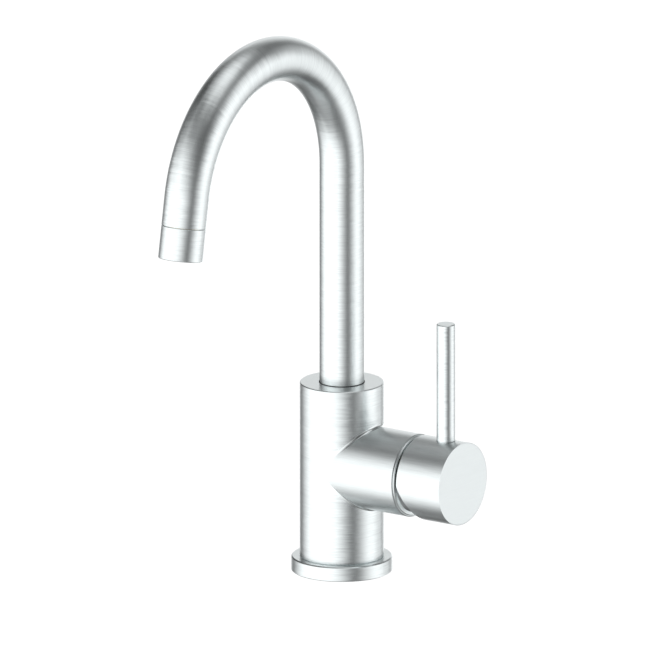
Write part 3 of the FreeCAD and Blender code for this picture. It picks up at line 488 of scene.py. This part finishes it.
def body_grain(tree):
    """Rings on the column, lengthwise on the valve's housing. They meet where x is |z - valve height|."""
    apart = add(tree, "ShaderNodeSeparateXYZ", {0: object_place(tree)}).outputs
    level = calc(tree, "ABSOLUTE", calc(tree, "SUBTRACT", apart[2], valve_height))
    past_corner = calc(tree, "SUBTRACT", apart[0], level)
    on_housing = calc(tree, "GREATER_THAN", past_corner, 0.0)
    off_corner = soft_step(tree, calc(tree, "ABSOLUTE", past_corner), *CORNER)
    column_place, column_smear, column_strength, _ = ring_grain(tree)
    housing_place, housing_smear, housing_strength, _ = lengthwise_grain(tree, VALVE_CENTRE, valve_radius)
    place = blend_vectors(tree, on_housing, column_place, housing_place)
    smear_way = blend_vectors(tree, on_housing, column_smear, housing_smear)
    strength = blend_values(tree, on_housing, column_strength, housing_strength)
    strength = calc(tree, "MULTIPLY", strength, off_corner)
    return place, smear_way, strength, blend_values(tree, off_corner, CORNER_GLOSS, GLOSS)


def tip_grain(tree):
    """Rings round the tail of the spout, which leans back from upright."""
    low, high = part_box("aerator_housing")
    tail_way = Vector((0, math.sin(TAIL_LEAN), math.cos(TAIL_LEAN)))
    return ring_grain(tree, (low + high) / 2, (TAIL_LEAN, 0.0, 0.0), tail_way)


paint(brushed_metal("brushed_body", body_grain), "faucet_body")
brushed_hub = brushed_metal("brushed_hub", lambda tree: lengthwise_grain(tree, VALVE_CENTRE, valve_radius))
paint(brushed_hub, "handle_hub")
paint(brushed_metal("brushed_rod", lambda tree: ring_grain(tree, (rod_low + rod_high) / 2)), "lever_rod")
paint(brushed_metal("brushed_tip", tip_grain), "aerator_housing")
print("valve's axis is", round(valve_height / MM, 1), "mm up")

# %% [markdown]
# ## The spout
# The spout is one tube that goes straight up, round a long bend and a little way down. Its shape is a
# rule: how far along the tube a point is says whether it is on the riser, in the bend or on the tail. So
# Geometry Nodes draw a line, move each of its points by that rule and run a circle along it. A curve
# with a round bevel gives the same shape, but the nodes can also write two things on every point that
# the finish needs: where the point is in the tube's own coordinates, so that the grain's rings follow
# the bend, and which way the tube runs there.

# %% Values on the points
def store(tree, geometry, name, data_type, value):
    """Writes a value on every point, under a name that the finish can read."""
    node = add(tree, "GeometryNodeStoreNamedAttribute", {"Geometry": geometry, "Name": name},
               data_type=data_type, domain="POINT")
    tree.links.new(value, node.inputs["Value"])
    return node.outputs[0]


def recall(tree, name, data_type):
    return add(tree, "GeometryNodeInputNamedAttribute", {"Name": name}, data_type=data_type).outputs[0]


def spout_grain(tree):
    """Grain coordinates and the smear's way, as the spout's own tree wrote them."""
    place = add(tree, "ShaderNodeAttribute", attribute_name="grain_place").outputs["Vector"]
    way = add(tree, "ShaderNodeAttribute", attribute_name="tube_way").outputs["Vector"]
    return place, way, SIDE_STRENGTH, GLOSS


brushed_spout = brushed_metal("brushed_spout", spout_grain)
print("the spout's finish has", len(brushed_spout.node_tree.nodes), "nodes")

# %% [markdown]
# ### The rule as nodes
# Up to the riser's end a point only rises. In the bend it turns with the length that it has gone past
# the riser, and beyond the bend it keeps the last direction. Each part of the sum stops growing where
# its stretch of the tube ends, so one formula serves all three. Every size is a named input.

# %% The spout's tree
def make_spout_tree():
    tree = bpy.data.node_groups.new("bent_spout", "GeometryNodeTree")
    tree.interface.new_socket("Geometry", in_out="OUTPUT", socket_type="NodeSocketGeometry")
    for name in ("Foot Height", "Riser Length", "Bend Radius", "Bend Angle", "Tail Length", "Tube Radius"):
        tree.interface.new_socket(name, in_out="INPUT", socket_type="NodeSocketFloat")
    for name in ("Steps Along", "Steps Round"):
        tree.interface.new_socket(name, in_out="INPUT", socket_type="NodeSocketInt")
    tree.interface.new_socket("Finish", in_out="INPUT", socket_type="NodeSocketMaterial")
    given = add(tree, "NodeGroupInput").outputs

    bend_length = calc(tree, "MULTIPLY", given["Bend Radius"], given["Bend Angle"])
    bend_end = calc(tree, "ADD", given["Riser Length"], bend_length)
    whole = calc(tree, "ADD", bend_end, given["Tail Length"])
    line = add(tree, "GeometryNodeCurvePrimitiveLine", {"End": combine(tree, 0.0, 0.0, whole)})
    points = add(tree, "GeometryNodeResampleCurve", {"Curve": line.outputs[0], "Count": given["Steps Along"]})

    along = add(tree, "GeometryNodeSplineParameter").outputs["Length"]
    past_riser = calc(tree, "MAXIMUM", calc(tree, "SUBTRACT", along, given["Riser Length"]), 0.0)
    turned = calc(tree, "DIVIDE", past_riser, given["Bend Radius"])
    turned = calc(tree, "MINIMUM", turned, given["Bend Angle"])
    past_bend = calc(tree, "MAXIMUM", calc(tree, "SUBTRACT", along, bend_end), 0.0)
    risen = calc(tree, "MINIMUM", along, given["Riser Length"])
    sine = calc(tree, "SINE", turned)
    cosine = calc(tree, "COSINE", turned)
    reach = calc(tree, "MULTIPLY", given["Bend Radius"], calc(tree, "SUBTRACT", 1.0, cosine))
    reach = calc(tree, "ADD", reach, calc(tree, "MULTIPLY", past_bend, sine))
    level = calc(tree, "ADD", given["Foot Height"], risen)
    level = calc(tree, "ADD", level, calc(tree, "MULTIPLY", given["Bend Radius"], sine))
    level = calc(tree, "ADD", level, calc(tree, "MULTIPLY", past_bend, cosine))
    place = combine(tree, 0.0, calc(tree, "MULTIPLY", reach, -1.0), level)
    run_way = combine(tree, 0.0, calc(tree, "MULTIPLY", sine, -1.0), cosine)
    marked = store(tree, points.outputs[0], "tube_along", "FLOAT", along)
    marked = store(tree, marked, "tube_way", "FLOAT_VECTOR", run_way)
    path = add(tree, "GeometryNodeSetPosition", {"Geometry": marked, "Position": place})

    circle = add(tree, "GeometryNodeCurvePrimitiveCircle",
                 {"Resolution": given["Steps Round"], "Radius": given["Tube Radius"]})
    circle_place = add(tree, "GeometryNodeInputPosition").outputs[0]
    section = store(tree, circle.outputs[0], "section_place", "FLOAT_VECTOR", circle_place)
    skin = add(tree, "GeometryNodeCurveToMesh", {"Curve": path.outputs[0], "Profile Curve": section})
    in_section = add(tree, "ShaderNodeSeparateXYZ", {0: recall(tree, "section_place", "FLOAT_VECTOR")})
    across, outward = in_section.outputs[0], in_section.outputs[1]
    grain_place = combine(tree, across, outward, recall(tree, "tube_along", "FLOAT"))
    finished = store(tree, skin.outputs[0], "grain_place", "FLOAT_VECTOR", grain_place)
    real = add(tree, "GeometryNodeRealizeInstances", {"Geometry": finished})
    dressed = add(tree, "GeometryNodeSetMaterial", {"Geometry": real.outputs[0], "Material": given["Finish"]})
    add(tree, "NodeGroupOutput", {0: dressed.outputs[0]})
    return tree


spout_tree = make_spout_tree()
print("spout tree:", len(spout_tree.nodes), "nodes")

# %% [markdown]
# ### From a tree to a mesh
# A tree works as a modifier on an object that is empty otherwise. A modifier's input is found by its
# socket's identifier, so a small helper looks that up by name. A Solidify modifier gives the tube its
# wall. The result is turned into a plain mesh, and the object that made it is thrown away.

# %% Growing a mesh
SHARP_EDGE = math.radians(35)
SAME_PLACE = 0.001 * MM         # points nearer than this to each other are one


def give(modifier, name, value):
    """Sets a tree's named input."""
    for item in modifier.node_group.interface.items_tree:
        if item.name == name and item.in_out == "INPUT":
            modifier[item.identifier] = value


def grown(name, tree, sizes, wall=0.0):
    """Lets a tree grow a piece with the given sizes, and hands it back as a plain mesh object."""
    seed = bpy.data.objects.new(name + "_seed", bpy.data.meshes.new(name + "_seed"))
    scene.collection.objects.link(seed)
    modifier = seed.modifiers.new("shape", "NODES")
    modifier.node_group = tree
    for key, value in sizes.items():
        give(modifier, key, value)
    if wall:
        seed.modifiers.new("wall", "SOLIDIFY").thickness = wall
    mesh = bpy.data.meshes.new_from_object(seed.evaluated_get(bpy.context.evaluated_depsgraph_get()))
    seed.modifiers.clear()
    bpy.data.objects.remove(seed)
    mesh.name = name
    piece = bpy.data.objects.new(name, mesh)
    scene.collection.objects.link(piece)
    face_outwards(mesh)
    return piece


def face_outwards(mesh):
    """Closes doubled points, points all faces outwards and shades them smooth between sharp edges."""
    work = bmesh.new()
    work.from_mesh(mesh)
    bmesh.ops.remove_doubles(work, verts=work.verts, dist=SAME_PLACE)
    bmesh.ops.recalc_face_normals(work, faces=work.faces)
    work.to_mesh(mesh)
    work.free()
    mesh.shade_smooth()
    mesh.set_sharp_from_angle(angle=SHARP_EDGE)
    print(mesh.name, "has", len(mesh.polygons), "faces")


print("edges sharper than", round(math.degrees(SHARP_EDGE)), "degrees stay sharp")

# %% [markdown]
# ### The spout's sizes
# The CAD tube says how long and wide everything is. Its box gives the foot, the top and the reach, and
# from these and the tail's lean follow the bend's radius and the riser's length.

# %% The spout
TUBE_WALL = 1.2 * MM
BEND_ANGLE = math.pi - TAIL_LEAN
TAIL_LENGTH = 15.2 * MM
STEPS_ALONG = 180
STEPS_ROUND = 72

tube_low, tube_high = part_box("spout_tube")
tube_radius = (tube_high.x - tube_low.x) / 2
tail_reach = TAIL_LENGTH * math.sin(BEND_ANGLE)
end_rise = tube_radius * abs(math.cos(BEND_ANGLE))
bend_radius = (-tube_low.y - tail_reach - end_rise) / (1 - math.cos(BEND_ANGLE))
riser_length = tube_high.z - tube_radius - bend_radius - tube_low.z
spout = grown("spout_tube_bent", spout_tree, {
    "Foot Height": tube_low.z,
    "Riser Length": riser_length,
    "Bend Radius": bend_radius,
    "Bend Angle": BEND_ANGLE,
    "Tail Length": TAIL_LENGTH,
    "Tube Radius": tube_radius,
    "Steps Along": STEPS_ALONG,
    "Steps Round": STEPS_ROUND,
    "Finish": brushed_spout,
}, wall=TUBE_WALL)
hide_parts("spout_tube")
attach(spout, "spout")
print("bend radius", round(bend_radius / MM, 2), "mm, riser", round(riser_length / MM, 2), "mm")

# %% [markdown]
# ## A turned shape
# A lathe gives a piece the same profile all the way round. A Screw modifier could do that too, but a few
# lines of mesh code need no helper object: they set out the profile's points once for each step round
# the axis, and join neighbours with faces. A profile is a list of places along the axis, with the radius
# at each, and its round stretches are arcs.

# %% Spinning a profile
RING_STEPS = 192


def arc(centre, width, height, start, end, count):
    """Points of an ellipse's arc, as place along the axis and radius. Angles count from the axis."""
    angles = [start + (end - start) * i / (count - 1) for i in range(count)]
    return [(centre[0] + width * math.cos(at), centre[1] + height * math.sin(at)) for at in angles]


def spun(name, profile, height, material):
    """Spins a closed profile round the axis that runs outwards at the given height."""
    work = bmesh.new()
    hoops = []
    for step in range(RING_STEPS):
        at = math.tau * step / RING_STEPS
        hoops.append([work.verts.new((x, r * math.cos(at), height + r * math.sin(at))) for x, r in profile])
    for step, hoop in enumerate(hoops):
        after = hoops[(step + 1) % RING_STEPS]
        for i in range(len(profile)):
            j = (i + 1) % len(profile)
            work.faces.new((hoop[i], hoop[j], after[j], after[i]))
    mesh = bpy.data.meshes.new(name)
    work.to_mesh(mesh)
    work.free()
    mesh.materials.append(material)
    piece = bpy.data.objects.new(name, mesh)
    scene.collection.objects.link(piece)
    face_outwards(mesh)
    return piece


print("a turned shape has", RING_STEPS, "steps round")

# %% [markdown]
# ## The bonnet ring
# Behind the hub, a trim ring closes the housing. In the photograph it is a thin bright line in the gap,
# so it has a rounded lip that catches the soft box, on the housing's end. The CAD ring has no lip, so
# this one stands for it. Its nose is round about the handle's pivot, and lip and nose stay nearer to the
# pivot than the hub's rear edge, and so the hub can tip over them.

# %% The bonnet ring
LIP_STEP = 0.3 * MM         # bare edge of the housing outside the lip
LIP_WIDTH = 0.8 * MM
LIP_RISE = 0.85 * MM
SKIRT_STEP = 1.25 * MM      # how much narrower the skirt in the housing is than the nose
HOUSING_CHAMFER = 0.4 * MM  # this and the hub's wall are as in the CAD
HUB_WALL = 2.0 * MM
ARC_POINTS = 9

ring_low, ring_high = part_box("bonnet_ring")
housing_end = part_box("faucet_body")[1].x
joints = {joint["name"]: joint for joint in frame["record"]["behaviour"]["joints"]}
pivot_x = joints["flow_tilt"]["pos_m"][0]
nose_base = (ring_high.z - ring_low.z) / 2
nose_radius = math.hypot(housing_end - pivot_x, nose_base)
bore = math.sqrt(nose_radius ** 2 - (ring_high.x - pivot_x) ** 2)
lip_radius = valve_radius - HOUSING_CHAMFER - LIP_STEP
lip = arc((housing_end, lip_radius - LIP_WIDTH), LIP_RISE, LIP_WIDTH, math.pi / 2, 0, ARC_POINTS)
nose_start = math.acos((housing_end + LIP_RISE - pivot_x) / nose_radius)
nose_end = math.asin(bore / nose_radius)
nose = arc((pivot_x, 0), nose_radius, nose_radius, nose_start, nose_end, ARC_POINTS)
skirt = [(ring_low.x, bore), (ring_low.x, nose_base - SKIRT_STEP), (housing_end, nose_base - SKIRT_STEP)]
bonnet = spun("bonnet_ring_with_lip", skirt + lip + nose, valve_height, brushed_hub)
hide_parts("bonnet_ring")
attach(bonnet, "base")
reach = max(math.hypot(x - pivot_x, r) for x, r in lip + nose)
hub_reach = math.hypot(hub_low.x - pivot_x, valve_radius - HUB_WALL)
print("from the pivot, the ring reaches", round(reach / MM, 2), "mm")
print("from the pivot, the hub starts at", round(hub_reach / MM, 2), "mm")

# %% [markdown]
# ## Turned brass and steel
# Inside, the spout's foot, the outlet's adapter and the cartridge's nut are turned from brass, and the
# screws, the pin and the stem from steel. A turning tool leaves an even thread of fine rings, finer and
# more regular than brushing. Noise could be stretched into rings again, but a wave texture is even by
# itself, so it draws them across the axis. A little noise varies the colour where oil has dried.

# %% Turned metal
TOOL_RINGS = 1100.0
RING_WAVER = 0.4
RING_DEPTH = 0.003 * MM
STAIN_SCALE = 160.0
STAIN_EDGE = (0.35, 0.7)
STAIN_DULLS = 0.18
BRASS = (0.80, 0.58, 0.26, 1)
DULL_BRASS = (0.62, 0.42, 0.18, 1)
STEEL = (0.60, 0.60, 0.61, 1)
DULL_STEEL = (0.44, 0.44, 0.46, 1)


def turned_metal(name, colour, stained, axis, roughness):
    """Machined metal with tool rings along the axis, and stains between two colours."""
    material, tree = new_material(name)
    place = object_place(tree)
    rings = add(tree, "ShaderNodeTexWave", {"Vector": place, "Scale": TOOL_RINGS, "Distortion": RING_WAVER},
                wave_type="BANDS", bands_direction=axis).outputs["Fac"]
    blotch = noise(tree, place, STAIN_SCALE, 4.0)
    share = soft_step(tree, blotch, *STAIN_EDGE)
    base = add(tree, "ShaderNodeMix", {"Factor": share, 6: colour, 7: stained}, data_type="RGBA").outputs[2]
    gloss = calc(tree, "ADD", calc(tree, "MULTIPLY", blotch, STAIN_DULLS), roughness)
    relief = add(tree, "ShaderNodeBump", {"Strength": 0.5, "Distance": RING_DEPTH, "Height": rings})
    shader = add(tree, "ShaderNodeBsdfPrincipled", {
        "Base Color": base, "Metallic": 1.0, "Roughness": gloss, "Normal": relief.outputs[0]})
    add(tree, "ShaderNodeOutputMaterial", {"Surface": shader.outputs[0]})
    return material


paint(turned_metal("turned_brass_upright", BRASS, DULL_BRASS, "Z", 0.20), "spout_foot", "outlet_adapter")
paint(turned_metal("turned_brass_lying", BRASS, DULL_BRASS, "X", 0.22), "cartridge_nut")
paint(turned_metal("turned_steel_lying", STEEL, DULL_STEEL, "X", 0.22), "cartridge_stem")
paint(turned_metal("turned_steel_pin", STEEL, DULL_STEEL, "Y", 0.18), "pivot_pin", "spout_set_screw")
paint(turned_metal("turned_steel_upright", STEEL, DULL_STEEL, "Z", 0.22),
      "handle_set_screw", "aerator_screen")

# %% [markdown]
# ## Rubber, ceramic and plastic
# These pieces are moulded or pressed, so none has a direction. Rubber is dull, with a bloom of lighter
# specks. The discs are white ceramic, lapped so flat that only a fine speckle and a slow mottle show.
# Moulded plastic has the mould's fine spark texture and flow marks. Each could have a tree of its own,
# but they differ only in measure, so one function makes them all: two colours, a slow mottle between
# them, a fine speckle for the relief, and a range of roughness.

# %% Moulded and pressed materials
MOTTLE_EDGE = (0.35, 0.65)
SPECKLE_EDGE = (0.5, 0.75)
MOTTLE_SHARE = 0.7          # how much of the colour's change is mottle, and the rest is speckle


def colour(red, green, blue):
    return (red, green, blue, 1)


def speckled(name, main, other, mottle_scale, speckle_scale, rough, depth):
    """A material of two colours, with a range of roughness and a relief of the given depth."""
    material, tree = new_material(name)
    place = object_place(tree)
    mottle = noise(tree, place, mottle_scale, 3.0)
    speckle = noise(tree, place, speckle_scale, 2.0)
    mottled = calc(tree, "MULTIPLY", soft_step(tree, mottle, *MOTTLE_EDGE), MOTTLE_SHARE)
    specked = calc(tree, "MULTIPLY", soft_step(tree, speckle, *SPECKLE_EDGE), 1 - MOTTLE_SHARE)
    share = calc(tree, "ADD", mottled, specked)
    base = add(tree, "ShaderNodeMix", {"Factor": share, 6: main, 7: other}, data_type="RGBA").outputs[2]
    gloss = blend_values(tree, speckle, *rough)
    relief = add(tree, "ShaderNodeBump", {"Strength": 0.6, "Distance": depth, "Height": speckle})
    shader = add(tree, "ShaderNodeBsdfPrincipled", {
        "Base Color": base, "Roughness": gloss, "Normal": relief.outputs[0]})
    add(tree, "ShaderNodeOutputMaterial", {"Surface": shader.outputs[0]})
    return material


RUBBER = speckled("black_rubber", colour(0.018, 0.018, 0.019), colour(0.045, 0.045, 0.046),
                  mottle_scale=220, speckle_scale=2600, rough=(0.55, 0.85), depth=0.02 * MM)
CERAMIC = speckled("lapped_ceramic", colour(0.90, 0.89, 0.85), colour(0.84, 0.82, 0.77),
                   mottle_scale=120, speckle_scale=4000, rough=(0.10, 0.22), depth=0.002 * MM)
CARTRIDGE_PLASTIC = speckled("grey_cartridge_plastic", colour(0.055, 0.06, 0.068), colour(0.075, 0.08, 0.09),
                             mottle_scale=90, speckle_scale=1800, rough=(0.35, 0.55), depth=0.01 * MM)
SLIPPERY_PLASTIC = speckled("slippery_plastic", colour(0.80, 0.80, 0.77), colour(0.72, 0.72, 0.68),
                            mottle_scale=110, speckle_scale=1500, rough=(0.30, 0.45), depth=0.008 * MM)
AERATOR_PLASTIC = speckled("pale_aerator_plastic", colour(0.70, 0.74, 0.76), colour(0.60, 0.65, 0.68),
                           mottle_scale=260, speckle_scale=2200, rough=(0.28, 0.42), depth=0.006 * MM)
COVER_PLASTIC = speckled("grey_cover_plastic", colour(0.40, 0.41, 0.41), colour(0.34, 0.35, 0.35),
                         mottle_scale=300, speckle_scale=2400, rough=(0.38, 0.5), depth=0.008 * MM)
paint(RUBBER, "deck_gasket", "flange_o_ring", "cartridge_seals", "spout_dust_ring", "lower_spout_o_ring",
      "upper_spout_o_ring", "aerator_washer")
paint(CERAMIC, "fixed_disc", "moving_disc")
paint(CARTRIDGE_PLASTIC, "cartridge_base", "cartridge_case")
paint(SLIPPERY_PLASTIC, "cartridge_rotor", "disc_carrier", "lower_slip_ring", "upper_slip_ring")
paint(AERATOR_PLASTIC, "aerator_insert", "aerator_grid")
paint(COVER_PLASTIC, "screw_cover")
unpainted = [name for name in nodes if name not in ("spout_tube", "bonnet_ring")
             and any(slot.material.name in frame_materials for slot in nodes[name].material_slots)]
print("pieces that still have the frame's plain finish:", unpainted)
